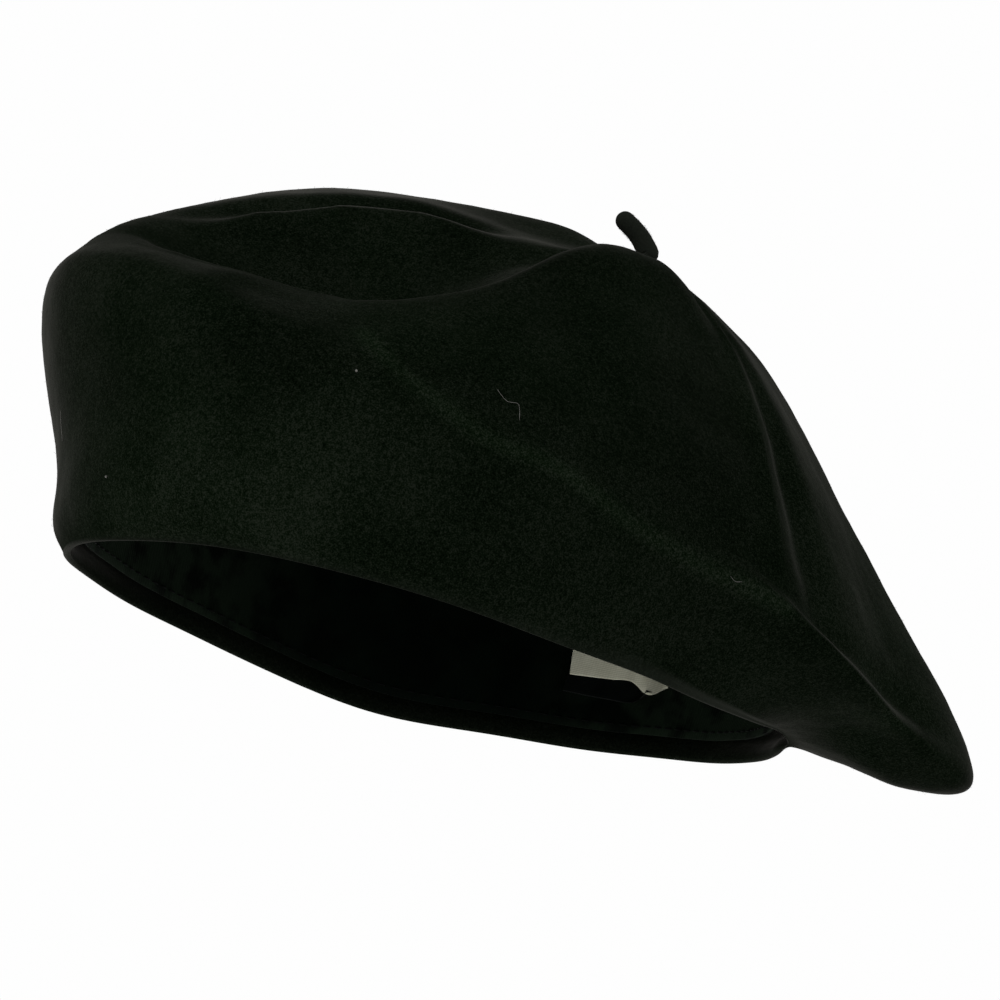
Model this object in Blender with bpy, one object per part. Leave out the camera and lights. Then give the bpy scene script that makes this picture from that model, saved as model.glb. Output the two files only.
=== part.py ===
"""Soft felt beret: a round felt disc drawn in to a head opening and pulled over to one side.

Frame: origin at the centre of the head opening, in the plane of its lower edge; +Z up through
the crown; -Y is the wearer's front, so the wearer's left is +X. The felt is drawn as vertical
cuts through the stem's axis, one every 22.5 degrees, starting at the flop that hangs over the
left ear. Sizes are in millimetres and become metres as the meshes are made.
"""
import math

import bmesh
import bpy
import numpy as np
from mathutils import Matrix, Vector

MM = 0.001

# Driving dimensions
HEAD_LENGTH = 194.0         # opening inside the felt, front to back
HEAD_WIDTH = 156.0          # opening inside the felt, side to side
FELT = 2.3                  # felt thickness
GAP = 0.35                  # clearance between pieces that touch
STEM_AXIS = (17.8, 18.0)    # where the stem stands on the crown
CROWN_TOP = 102.0           # height of the felt at the stem
EYELET_RADIUS = 1.4         # hole in the crown that the stem's thread passes through

FLOP_BEARING = 30.0         # bearing of the flop's tip, from +X towards +Y
SECTION_STEP = 22.5
CREASE = -45.0              # bearing of the sharp fold, from the flop, before it is drawn round
CREASE_SHIFT = 13.0         # how far the fold is drawn round towards the front
CREASE_PULL = 26.0          # how far to either side of the fold the felt is drawn with it
CREASE_WIDTH = (3.5, 3.0)   # of the fold, towards the front and towards the back
CREASE_OUT = (1.5, 2.0, 1.0)   # how far the fold stands out, above the edge and further up
CREASE_BLUNT = 0.02         # rounding of the fold's crest
CREASE_VALLEY = -48.0       # bearing of the furrow behind the sharp fold
CREASE_VALLEY_WIDTH = 5.0
CREASE_IN = 3.5             # depth of the furrow
FURROW_SHARES = (0.8, 0.6)  # share of that depth just above the edge and on the crown

# One cut through the felt for each bearing, as radius from the stem's axis and height:
# the disc's edge, the shoulder, the crown, and the fullness above and below the edge.
SECTIONS = (
    ((103, 8), (65, 53), (37, 83), 2.8, -1.0),       # flop's tip
    ((101, 18), (72, 56), (42, 83), 3.0, 0.0),
    ((98, 32), (78, 71), (46, 91), 5.0, 1.0),
    ((100, 44), (80, 85), (48, 101), 6.0, 2.0),      # back
    ((103, 53), (84, 98), (52, 109), 7.0, 3.0),
    ((108, 58), (88, 107), (56, 115), 7.0, 3.0),
    ((117, 60), (102, 109), (70, 112), 6.0, 3.0),
    ((127, 58), (109, 94), (70, 100), 4.5, 0.5),     # wearer's right
    ((129, 54), (113, 77), (68, 66), 4.0, 1.4),
    ((131, 50), (110, 65), (66, 55), 8.0, -0.5),
    ((124, 48), (97, 61), (60, 55), 3.0, 1.0),
    ((112, 41), (79, 74), (60, 88), 2.0, 1.5),       # front
    ((98, 33), (76, 66), (46, 93), 1.5, 1.5),
    ((88, 28), (74, 54), (43, 88), 0.5, 1.0),
    ((88, 22), (68, 51), (47, 77), 0.0, 0.0),        # sharp fold
    ((88, 11), (67, 45), (40, 78), 1.0, 0.0),
)

RIM_LIFT = 5.0              # how far the flop draws the rim up
RIM_LIFT_BEARING = 22.0
RIM_LIFT_SPREAD = 64.0
FLOP_FLOOR_BEARING = -9.0
FLOP_FLOOR_SPREAD = 40.0
FLOP_FLOOR = (1.5, 13.0)    # height of the flop's underside, at its front and at its back
FLOP_FLOOR_RISE = (-8.0, 34.0)   # bearings between which the underside rises
FLOP_BELLY = 5.0            # roundness of the flop's lower edge
FLOP_BELLY_RISE = (-24.0, 0.0)
STRAIGHT_FROM = (-85.0, -60.0)   # bearings where the side runs straight from rim to flop
STRAIGHT_TO = (-26.0, -4.0)
STRAIGHT_RIM_TO = (0.0, 16.0)    # the same, for the strip next to the rim
LOWER_SHARES = (0.17, 0.47, 0.6)   # places of the lower stations on the straight side

HEM_OUT = (4.0, 0.6)        # how far the felt spreads just above the rim: side, flop
HEM_UP = (5.0, 1.6)
BAND_OUT = 6.3              # how far it has spread at the next station
BAND_UP = (15.0, 2.8)
HIGH_SHARE = 0.36           # places of the stations between edge, shoulder and stem
TOP_SHARE = 0.45
TOP_RISE = 0.72

BEARINGS = 64               # columns of the felt's mesh
ROWS_PER_SPAN = (1, 1, 2, 2, 3, 3, 2, 2, 2)
LAST_PLACE = len(ROWS_PER_SPAN)   # place of the eyelet along a cut; the rim is at 0
EYELET_FELT = 1.15          # the felt's thickness at the eyelet, against elsewhere
SHARP_FROM = 50.0           # edges that turn more than this are drawn sharp

BAND_BOTTOM = 4.0           # sweatband, above the rim's edge
BAND_HEIGHT = 30.0
BAND_THICKNESS = 0.8
BAND_LEAN = 0.09            # how far the ribbon leans out for each millimetre of height

LABEL_WIDTH = 25.0
CARE_LABEL_LENGTH = 14.0
WOVEN_LABEL_LENGTH = 19.0
LABEL_THICKNESS = 0.45
LABEL_X = 1.5               # the labels' middle, from the centre back
LABEL_TOP = 33.5
LABEL_CLEARANCE = 0.5       # behind the labels, at their ends
STITCH_BELOW_TOP = 1.2
THREAD_RADIUS = 0.3

STEM_RADIUS = 2.4
STEM_PATH = ((0.0, 0.0), (-1.3, 1.4), (-2.9, 3.1), (-4.9, 4.5), (-7.1, 5.7))  # lean, rise
KNOT_RADIUS = 2.6
KNOT_DROP = 6.4


def bearing_from(bearing, middle):
    """Signed difference between two bearings, in degrees."""
    return (bearing - middle + 180.0) % 360.0 - 180.0


def bump_at(value, middle, width):
    """Bell curve of height 1."""
    return np.exp(-((value - middle) / width) ** 2)


def smooth_step(value, low, high):
    """0 below low, 1 above high, and a smooth rise between them."""
    t = np.clip((value - low) / (high - low), 0.0, 1.0)
    return t * t * (3 - 2 * t)


def through_points(points, place):
    """Smooth curve through points along the first axis, at fractional places."""
    last = len(points) - 4
    start = np.clip(np.floor(place).astype(int), 0, last)
    f = place - start
    p0, p1, p2, p3 = (points[start + k] for k in range(4))
    while f.ndim < p1.ndim:
        f = f[..., None]
    return p1 + 0.5 * f * (p2 - p0 + f * (2 * p0 - 5 * p1 + 4 * p2 - p3
                                          + f * (3 * (p1 - p2) + p3 - p0)))


def section_values(bearing):
    """The section table read at any bearing from the flop."""
    rows = np.array([[*edge, *shoulder, *crown, above, below]
                     for edge, shoulder, crown, above, below in SECTIONS], float)
    rows = np.concatenate([rows[-1:], rows, rows[:2]])
    return through_points(rows, (bearing % 360.0) / SECTION_STEP).T


def opening_radius(bearing, out):
    """Distance from the stem's axis to the opening's oval, grown by out."""
    angle = np.radians(bearing + FLOP_BEARING)
    dx, dy = np.cos(angle), np.sin(angle)
    half_w, half_l = HEAD_WIDTH / 2 + out, HEAD_LENGTH / 2 + out
    sx, sy = STEM_AXIS
    a = (dx / half_w) ** 2 + (dy / half_l) ** 2
    b = sx * dx / half_w ** 2 + sy * dy / half_l ** 2
    c = (sx / half_w) ** 2 + (sy / half_l) ** 2 - 1
    return (np.sqrt(b * b - a * c) - b) / a


def rim_height(bearing):
    """Height of the rim's edge: flat, except where the flop draws it up."""
    off = np.abs(bearing_from(bearing, RIM_LIFT_BEARING))
    lift = RIM_LIFT * np.exp(-(off / RIM_LIFT_SPREAD) ** 4)
    return np.where(lift < 0.02, 0.0, lift)


def felt_stations(bearing):
    """Radius and height of each station of the cut, from the rim's edge up to the eyelet."""
    drawn = CREASE_SHIFT * bump_at(bearing_from(bearing, CREASE - CREASE_SHIFT), 0.0, CREASE_PULL)
    er, ez, mr, mz, cr, cz, above, below = section_values(bearing + drawn)
    flop = np.exp(-(bearing_from(bearing, FLOP_FLOOR_BEARING) / FLOP_FLOOR_SPREAD) ** 2)
    turn = bearing_from(bearing, CREASE - CREASE_SHIFT)
    fold = np.exp(-np.sqrt((turn / np.where(turn < 0, *CREASE_WIDTH)) ** 2 + CREASE_BLUNT))
    furrow = bump_at(bearing_from(bearing, CREASE_VALLEY), 0.0, CREASE_VALLEY_WIDTH) * CREASE_IN
    side = 1 - flop
    rim_r, rim_z = opening_radius(bearing, FELT), rim_height(bearing)
    hem_r = rim_r + HEM_OUT[0] * side + HEM_OUT[1] * flop
    hem_z = rim_z + HEM_UP[0] * side + HEM_UP[1] * flop
    band_r = rim_r + BAND_OUT
    band_z = rim_z + BAND_UP[0] * side + BAND_UP[1] * flop
    low_r = (band_r + er) / 2 + below * side
    front, back = FLOP_FLOOR
    off = bearing_from(bearing, 0.0)
    floor = front + (back - front) * smooth_step(off, *FLOP_FLOOR_RISE)
    low_z = (band_z + ez) / 2 * side + floor * flop
    low_r = low_r + FLOP_BELLY * flop * smooth_step(off, *FLOP_BELLY_RISE)
    begun = smooth_step(off, *STRAIGHT_FROM)
    near_rim, near_edge = (begun * (1 - smooth_step(off, *end)) for end in (STRAIGHT_RIM_TO,
                                                                            STRAIGHT_TO))
    hem_share, band_share, low_share = LOWER_SHARES
    low_r = low_r + (rim_r + low_share * (er - rim_r) - low_r) * near_edge
    low_z = low_z + (rim_z + low_share * (ez - rim_z) - low_z) * near_edge
    band_r = band_r + (rim_r + band_share * (low_r - rim_r) - band_r) * near_rim
    band_z = band_z + (rim_z + band_share * (low_z - rim_z) - band_z) * near_rim
    hem_r = hem_r + (rim_r + hem_share * (low_r - rim_r) - hem_r) * near_rim
    hem_z = hem_z + (rim_z + hem_share * (low_z - rim_z) - hem_z) * near_rim
    chord = np.hypot(mr - er, mz - ez)
    high_r = er + HIGH_SHARE * (mr - er) + above * (mz - ez) / chord + CREASE_OUT[0] * fold
    high_r = high_r - furrow * FURROW_SHARES[0]
    high_z = ez + HIGH_SHARE * (mz - ez) - above * (mr - er) / chord
    mr = mr + CREASE_OUT[1] * fold - furrow
    cr = cr + CREASE_OUT[2] * fold - furrow * FURROW_SHARES[1]
    top_r, top_z = cr * TOP_SHARE, cz + (CROWN_TOP - cz) * TOP_RISE
    eyelet = np.full_like(er, EYELET_RADIUS)
    peak = np.full_like(er, CROWN_TOP)
    return np.array([[rim_r, rim_z], [hem_r, hem_z], [band_r, band_z], [low_r, low_z],
                     [er, ez], [high_r, high_z], [mr, mz], [cr, cz], [top_r, top_z],
                     [eyelet, peak]])


def felt_points(bearing, place):
    """Points on the felt's outer face; place 0 is the rim and 9 the eyelet."""
    cuts = felt_stations(bearing)
    cuts = np.concatenate([2 * cuts[:1] - cuts[1:2], cuts, 2 * cuts[-1:] - cuts[-2:-1]])
    start = np.clip(np.floor(place).astype(int), 0, len(cuts) - 4)
    f = place - start
    column = np.arange(len(bearing))
    p0, p1, p2, p3 = (cuts[start + k, :, column].T for k in range(4))
    r, z = p1 + 0.5 * f * (p2 - p0 + f * (2 * p0 - 5 * p1 + 4 * p2 - p3
                                          + f * (3 * (p1 - p2) + p3 - p0)))
    angle = np.radians(bearing + FLOP_BEARING)
    return np.stack([STEM_AXIS[0] + r * np.cos(angle), STEM_AXIS[1] + r * np.sin(angle), z], -1)


def felt_normals(bearing, place):
    """Outward directions of the felt's outer face."""
    step_b, step_p = 0.6, 0.02
    low = np.clip(place - step_p, 0, LAST_PLACE)
    high = np.clip(place + step_p, 0, LAST_PLACE)
    along = felt_points(bearing + step_b, place) - felt_points(bearing - step_b, place)
    up = felt_points(bearing, high) - felt_points(bearing, low)
    normal = np.cross(along, up)
    return normal / np.linalg.norm(normal, axis=-1, keepdims=True)


def material(name, colour, roughness):
    """Principled material with a plain colour."""
    mat = bpy.data.materials.new(name)
    mat.use_nodes = True
    shader = mat.node_tree.nodes["Principled BSDF"]
    shader.inputs["Base Color"].default_value = (*colour, 1.0)
    shader.inputs["Roughness"].default_value = roughness
    shader.inputs["Metallic"].default_value = 0.0
    return mat


def add_object(name, mesh_builder, mat, origin=(0.0, 0.0, 0.0)):
    """New object from a bmesh in millimetres, with its origin at a point in millimetres."""
    bmesh.ops.recalc_face_normals(mesh_builder, faces=mesh_builder.faces)
    bmesh.ops.translate(mesh_builder, verts=mesh_builder.verts, vec=-Vector(origin))
    bmesh.ops.scale(mesh_builder, verts=mesh_builder.verts, vec=(MM, MM, MM))
    mesh = bpy.data.meshes.new(name)
    mesh_builder.to_mesh(mesh)
    mesh_builder.free()
    mesh.materials.append(mat)
    mesh.shade_smooth()
    mesh.set_sharp_from_angle(angle=math.radians(SHARP_FROM))
    obj = bpy.data.objects.new(name, mesh)
    obj.location = Vector(origin) * MM
    bpy.context.scene.collection.objects.link(obj)
    return obj


def ring_of_loops(loops, closed):
    """Quads between loops of points; the last loop joins the first when closed."""
    bm = bmesh.new()
    rows = [[bm.verts.new(Vector(point)) for point in loop] for loop in loops]
    pairs = list(zip(rows, rows[1:]))
    if closed:
        pairs.append((rows[-1], rows[0]))
    count = len(rows[0])
    for lower, upper in pairs:
        for k in range(count):
            n = (k + 1) % count
            bm.faces.new((lower[k], lower[n], upper[n], upper[k]))
    if not closed:
        bm.faces.new(rows[0])
        bm.faces.new(rows[-1])
    return bm


def tube(path, radii, sides):
    """Closed tube through points with one radius each, capped at both ends."""
    loops = []
    across = Vector((0, 1, 0))
    for k, point in enumerate(path):
        before, after = path[max(k - 1, 0)], path[min(k + 1, len(path) - 1)]
        ahead = (after - before).normalized()
        side = ahead.cross(across).normalized()
        front = side.cross(ahead).normalized()
        turn = [2 * math.pi * n / sides for n in range(sides)]
        loops.append([point + (side * math.cos(a) + front * math.sin(a)) * radii[k] for a in turn])
    return ring_of_loops(loops, closed=False)


def make_felt_body(mat):
    """One-piece felt shell: rim, side, disc and crown, open at the head and at the eyelet."""
    bearing = np.arange(BEARINGS) * 360.0 / BEARINGS
    places = [0.0]
    for span, rows in enumerate(ROWS_PER_SPAN):
        places += [span + (k + 1) / rows for k in range(rows)]
    outer, inner = [], []
    for place in places:
        here = np.full(BEARINGS, place)
        points = felt_points(bearing, here)
        lining = points - felt_normals(bearing, here) * FELT
        if place == 0.0:
            lining[:, 2] = points[:, 2]
        outer.append(points)
        inner.append(lining)
    centre = np.array([*STEM_AXIS, 0.0])
    collar = (outer[-1] - centre) * (1, 1, 0) + centre
    inner[-1] = collar + (0, 0, CROWN_TOP - FELT * EYELET_FELT)
    bm = ring_of_loops(outer + inner[::-1], closed=True)
    return add_object("felt_body", bm, mat)


def band_line(height, out):
    """Closed line round the inside of the opening, at a height over the rim's edge."""
    bearing = np.arange(BEARINGS) * 360.0 / BEARINGS
    lean = BAND_LEAN * (height - BAND_BOTTOM)
    radius = opening_radius(bearing, lean - out)
    angle = np.radians(bearing + FLOP_BEARING)
    return np.stack([STEM_AXIS[0] + radius * np.cos(angle),
                     STEM_AXIS[1] + radius * np.sin(angle),
                     rim_height(bearing) + height], -1)


def make_sweatband(mat):
    """Ribbon standing inside the opening, sewn to the felt along its lower edge."""
    top = BAND_BOTTOM + BAND_HEIGHT
    heights = (BAND_BOTTOM, BAND_BOTTOM + BAND_HEIGHT / 2, top)
    outer = [band_line(h, GAP) for h in heights]
    inner = [band_line(h, GAP + BAND_THICKNESS) for h in heights]
    return add_object("sweatband", ring_of_loops(outer + inner[::-1], closed=True), mat)


def make_band_stitching(mat):
    """Thread ring along the sweatband's lower edge, on its inner face."""
    out = GAP + BAND_THICKNESS + GAP + THREAD_RADIUS
    height = BAND_BOTTOM + 1.8
    corners = ((THREAD_RADIUS, 0), (0, THREAD_RADIUS), (-THREAD_RADIUS, 0), (0, -THREAD_RADIUS))
    loops = [band_line(height + rise, out + across) for across, rise in corners]
    return add_object("band_stitching", ring_of_loops(loops, closed=True), mat)


def label_hinge():
    """Top edge of the labels' back face: clear of the sweatband behind the labels' ends."""
    reach = []
    for x in (LABEL_X - LABEL_WIDTH / 2, LABEL_X + LABEL_WIDTH / 2):
        for drop in (0.0, WOVEN_LABEL_LENGTH):
            out = BAND_LEAN * (LABEL_TOP - drop - BAND_BOTTOM) - GAP - BAND_THICKNESS
            half_w, half_l = HEAD_WIDTH / 2 + out, HEAD_LENGTH / 2 + out
            reach.append(half_l * math.sqrt(1 - (x / half_w) ** 2) + BAND_LEAN * drop)
    return LABEL_X, min(reach) - LABEL_CLEARANCE, LABEL_TOP


def lean_back(bm, hinge):
    """Tilts a piece about the labels' hinge so that it lies along the leaning sweatband."""
    tilt = Matrix.Rotation(-math.atan(BAND_LEAN), 3, "X")
    bmesh.ops.rotate(bm, verts=bm.verts, cent=Vector(hinge), matrix=tilt)
    return bm


def label_plate(hinge, depth, length):
    """Thin plate that hangs from the hinge line, with its back face at a depth towards -Y."""
    bm = bmesh.new()
    bmesh.ops.create_cube(bm, size=1.0)
    bmesh.ops.scale(bm, verts=bm.verts, vec=(LABEL_WIDTH, LABEL_THICKNESS, length))
    middle = Vector(hinge) - Vector((0, depth + LABEL_THICKNESS / 2, length / 2))
    bmesh.ops.translate(bm, verts=bm.verts, vec=middle)
    return lean_back(bm, hinge)


def make_labels(woven_mat, care_mat, thread_mat):
    """Two blank labels, one over the other, sewn along their top edge to the sweatband."""
    hinge = label_hinge()
    care_depth = LABEL_THICKNESS + GAP
    add_object("woven_label", label_plate(hinge, 0.0, WOVEN_LABEL_LENGTH), woven_mat, hinge)
    add_object("care_label", label_plate(hinge, care_depth, CARE_LABEL_LENGTH), care_mat, hinge)
    thread_depth = care_depth + LABEL_THICKNESS + GAP + THREAD_RADIUS
    turns = 24
    reach = LABEL_WIDTH / 2 - 1.5
    loops = []
    for k in range(turns + 1):
        x = hinge[0] + reach * (2 * k / turns - 1)
        z = hinge[2] - STITCH_BELOW_TOP + 0.35 * (-1) ** k
        ring = [(THREAD_RADIUS * math.cos(a), THREAD_RADIUS * math.sin(a))
                for a in (0.0, math.pi / 2, math.pi, 1.5 * math.pi)]
        loops.append([(x, hinge[1] - thread_depth + dy, z + dz) for dy, dz in ring])
    stitches = lean_back(ring_of_loops(loops, closed=False), hinge)
    add_object("label_stitching", stitches, thread_mat, hinge)


def make_stem(mat):
    """Felt tail that stands on the crown and bends about its rounded foot."""
    foot = Vector((*STEM_AXIS, CROWN_TOP + GAP + STEM_RADIUS))
    lean = math.radians(FLOP_BEARING - 3.0)
    aside = Vector((math.cos(lean), math.sin(lean), 0))
    knots = np.array([STEM_PATH[0], *STEM_PATH, STEM_PATH[-1]])
    knots[0] = 2 * knots[1] - knots[2]
    knots[-1] = 2 * knots[-2] - knots[-3]
    spine = [through_points(knots, np.array(k / 2)) for k in range(2 * len(STEM_PATH) - 1)]
    path = [foot + aside * float(p[0]) + Vector((0, 0, float(p[1]))) for p in spine]
    radii = [STEM_RADIUS * (1.0 if k < 5 else 0.96) for k in range(len(path))]
    foot_cap = [(-0.92, 0.38), (-0.7, 0.71), (-0.38, 0.92)]
    tip = (path[-1] - path[-2]).normalized()
    foot_path = [foot + Vector((0, 0, 1)) * (drop * STEM_RADIUS) for drop, _ in foot_cap]
    tip_path = [path[-1] + tip * (-drop * STEM_RADIUS) for drop, _ in reversed(foot_cap)]
    path = foot_path + path + tip_path
    radii = [scale * STEM_RADIUS for _, scale in foot_cap] + radii
    radii += [scale * STEM_RADIUS for _, scale in reversed(foot_cap)]
    return add_object("stem", tube(path, radii, sides=12), mat, foot)


def make_stem_tie(mat):
    """Thread shank through the eyelet, with the knot inside the crown that holds the stem."""
    shank = EYELET_RADIUS - GAP
    top = CROWN_TOP - 0.1
    knot = CROWN_TOP - KNOT_DROP
    profile = [(shank, top), (shank, knot + 2.1)]
    profile += [(KNOT_RADIUS * math.cos(a), knot + 1.8 * math.sin(a))
                for a in (0.9, 0.45, 0.0, -0.45, -0.9, -1.3)]
    turn = [2 * math.pi * k / 12 for k in range(12)]
    loops = [[(STEM_AXIS[0] + r * math.cos(a), STEM_AXIS[1] + r * math.sin(a), z) for a in turn]
             for r, z in profile]
    return add_object("stem_tie", ring_of_loops(loops, closed=False), mat)


def main():
    for obj in list(bpy.data.objects):
        bpy.data.objects.remove(obj, do_unlink=True)
    felt = material("black_wool_felt", (0.004, 0.006, 0.004), 0.95)
    ribbon = material("black_ribbon", (0.005, 0.006, 0.006), 0.7)
    thread = material("black_thread", (0.01, 0.01, 0.01), 0.6)
    satin = material("white_satin", (0.72, 0.70, 0.65), 0.45)
    woven = material("black_satin", (0.006, 0.006, 0.008), 0.4)
    make_felt_body(felt)
    make_sweatband(ribbon)
    make_band_stitching(thread)
    make_labels(woven, satin, thread)
    make_stem(felt)
    make_stem_tie(thread)


main()
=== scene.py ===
"""Looks of the soft felt beret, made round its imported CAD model.

Sizes are in millimetres in the CAD model's frame and become metres as each mesh is made. The
origin is the centre of the head opening, +Z goes up through the crown, -Y is the wearer's
front and +X the wearer's left, where the felt hangs down in a flop.
"""
import math

import bpy
import numpy as np
from mathutils import Matrix, Vector, noise

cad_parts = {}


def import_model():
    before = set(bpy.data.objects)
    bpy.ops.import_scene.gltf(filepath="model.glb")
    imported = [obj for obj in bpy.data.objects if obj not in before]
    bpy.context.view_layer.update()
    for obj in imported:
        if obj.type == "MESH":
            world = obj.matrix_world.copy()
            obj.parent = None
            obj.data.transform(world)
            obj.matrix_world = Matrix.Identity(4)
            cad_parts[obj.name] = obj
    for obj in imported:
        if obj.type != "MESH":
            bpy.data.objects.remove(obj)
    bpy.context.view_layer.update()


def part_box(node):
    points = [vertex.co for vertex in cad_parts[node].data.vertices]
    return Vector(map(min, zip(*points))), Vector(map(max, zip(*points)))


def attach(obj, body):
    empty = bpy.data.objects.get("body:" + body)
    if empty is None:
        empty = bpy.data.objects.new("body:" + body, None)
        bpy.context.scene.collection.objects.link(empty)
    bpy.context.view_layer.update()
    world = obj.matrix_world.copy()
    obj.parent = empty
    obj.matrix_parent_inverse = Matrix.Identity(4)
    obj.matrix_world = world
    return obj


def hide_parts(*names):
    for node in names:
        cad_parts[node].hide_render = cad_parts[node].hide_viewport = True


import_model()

MM = 0.001

# ---- the felt's shape, as in the CAD

HEAD_LENGTH = 194.0
HEAD_WIDTH = 156.0
FELT = 2.3
GAP = 0.35
STEM_AXIS = (17.8, 18.0)
CROWN_TOP = 102.0
EYELET_RADIUS = 1.4

FLOP_BEARING = 30.0
SECTION_STEP = 22.5
CREASE = -45.0
CREASE_SHIFT = 13.0  # how far the fold is drawn round towards the front
CREASE_PULL = 26.0
CREASE_WIDTH = (3.5, 3.0)  # towards the front and towards the back
CREASE_OUT = (1.5, 2.0, 1.0)
CREASE_BLUNT = 0.02
CREASE_VALLEY = -48.0  # bearing of the furrow behind the sharp fold
CREASE_VALLEY_WIDTH = 5.0
CREASE_IN = 3.5
FURROW_SHARES = (0.8, 0.6)

# radius from the stem's axis and height of the disc's edge, the shoulder and the crown, then
# the fullness above and below the edge; one row every 22.5 degrees from the flop's tip
SECTIONS = (
    ((103, 8), (65, 53), (37, 83), 2.8, -1.0),
    ((101, 18), (72, 56), (42, 83), 3.0, 0.0),
    ((98, 32), (78, 71), (46, 91), 5.0, 1.0),
    ((100, 44), (80, 85), (48, 101), 6.0, 2.0),
    ((103, 53), (84, 98), (52, 109), 7.0, 3.0),
    ((108, 58), (88, 107), (56, 115), 7.0, 3.0),
    ((117, 60), (102, 109), (70, 112), 6.0, 3.0),
    ((127, 58), (109, 94), (70, 100), 4.5, 0.5),
    ((129, 54), (113, 77), (68, 66), 4.0, 1.4),
    ((131, 50), (110, 65), (66, 55), 8.0, -0.5),
    ((124, 48), (97, 61), (60, 55), 3.0, 1.0),
    ((112, 41), (79, 74), (60, 88), 2.0, 1.5),
    ((98, 33), (76, 66), (46, 93), 1.5, 1.5),
    ((88, 28), (74, 54), (43, 88), 0.5, 1.0),
    ((88, 22), (68, 51), (47, 77), 0.0, 0.0),
    ((88, 11), (67, 45), (40, 78), 1.0, 0.0),
)

RIM_LIFT = 5.0
RIM_LIFT_BEARING = 22.0
RIM_LIFT_SPREAD = 64.0
FLOP_FLOOR_BEARING = -9.0
FLOP_FLOOR_SPREAD = 40.0
FLOP_FLOOR = (1.5, 13.0)  # height of the flop's underside, at its front and at its back
FLOP_FLOOR_RISE = (-8.0, 34.0)  # bearings between which the underside rises
FLOP_BELLY = 5.0  # roundness of the flop's lower edge
FLOP_BELLY_RISE = (-24.0, 0.0)
STRAIGHT_FROM = (-85.0, -60.0)  # bearings where the side runs straight from the rim to the flop
STRAIGHT_TO = (-26.0, -4.0)
STRAIGHT_RIM_TO = (0.0, 16.0)  # the same, for the strip next to the rim
LOWER_SHARES = (0.17, 0.47, 0.6)  # places of the lower stations on the straight side

HEM_OUT = (4.0, 0.6)  # how far the felt spreads just above the rim: side, flop
HEM_UP = (5.0, 1.6)
BAND_OUT = 6.3  # how far it has spread at the next station
BAND_UP = (15.0, 2.8)
HIGH_SHARE = 0.36  # places of the stations between edge, shoulder and stem
TOP_SHARE = 0.45
TOP_RISE = 0.72
LAST_PLACE = 9  # place of the eyelet along a cut; the rim is at 0
EYELET_FELT = 1.15  # the felt's thickness at the eyelet, against elsewhere

BAND_BOTTOM = 4.0
BAND_HEIGHT = 30.0
BAND_LEAN = 0.09
LABEL_WIDTH = 25.0
LABEL_LEAN = 0.22  # how far the white label leans aside as it hangs, per unit of drop
LABEL_TILT = 0.08  # slope of its lower edge
LABEL_ASIDE = -1.9
LABEL_ROUND = 1.6  # how far the white label's upper corners are rounded off
LABEL_DROOP = 3.2  # how far its right corner hangs down
CARE_LABEL_LENGTH = 14.0
WOVEN_LABEL_LENGTH = 19.0

STEM_RADIUS = 2.4
STEM_PATH = ((0.0, 0.0), (-1.3, 1.4), (-2.9, 3.1), (-4.9, 4.5), (-7.1, 5.7))
KNOT_DROP = 6.4  # from the felt at the stem down to the thread's knot inside


def bearing_from(bearing, middle):
    """Signed difference between two bearings, in degrees."""
    return (bearing - middle + 180.0) % 360.0 - 180.0


def bump_at(value, middle, width):
    """Bell curve of height 1."""
    return np.exp(-((value - middle) / width) ** 2)


def smooth_step(value, low, high):
    """0 below low, 1 above high, and a smooth rise between them."""
    t = np.clip((value - low) / (high - low), 0.0, 1.0)
    return t * t * (3 - 2 * t)


def smooth_between(p0, p1, p2, p3, f):
    """Smooth curve from p1 to p2, a share f of the way, with p0 before them and p3 after."""
    return p1 + 0.5 * f * (p2 - p0 + f * (2 * p0 - 5 * p1 + 4 * p2 - p3
                                          + f * (3 * (p1 - p2) + p3 - p0)))


def through_points(points, place):
    """Smooth curve through points along the first axis, at fractional places."""
    start = np.clip(np.floor(place).astype(int), 0, len(points) - 4)
    share = place - start
    four = [points[start + k] for k in range(4)]
    while share.ndim < four[0].ndim:
        share = share[..., None]
    return smooth_between(*four, share)


def section_values(bearing):
    """The section table read at any bearing from the flop."""
    rows = np.array([[*edge, *shoulder, *crown, above, below]
                     for edge, shoulder, crown, above, below in SECTIONS], float)
    rows = np.concatenate([rows[-1:], rows, rows[:2]])
    return through_points(rows, (bearing % 360.0) / SECTION_STEP).T


def opening_radius(bearing, out):
    """Distance from the stem's axis to the opening's oval, grown by out."""
    angle = np.radians(bearing + FLOP_BEARING)
    dx, dy = np.cos(angle), np.sin(angle)
    half_w, half_l = HEAD_WIDTH / 2 + out, HEAD_LENGTH / 2 + out
    sx, sy = STEM_AXIS
    a = (dx / half_w) ** 2 + (dy / half_l) ** 2
    b = sx * dx / half_w ** 2 + sy * dy / half_l ** 2
    c = (sx / half_w) ** 2 + (sy / half_l) ** 2 - 1
    return (np.sqrt(b * b - a * c) - b) / a


def rim_height(bearing):
    """Height of the rim's edge: flat, except where the flop draws it up."""
    off = np.abs(bearing_from(bearing, RIM_LIFT_BEARING))
    lift = RIM_LIFT * np.exp(-(off / RIM_LIFT_SPREAD) ** 4)
    return np.where(lift < 0.02, 0.0, lift)


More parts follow.
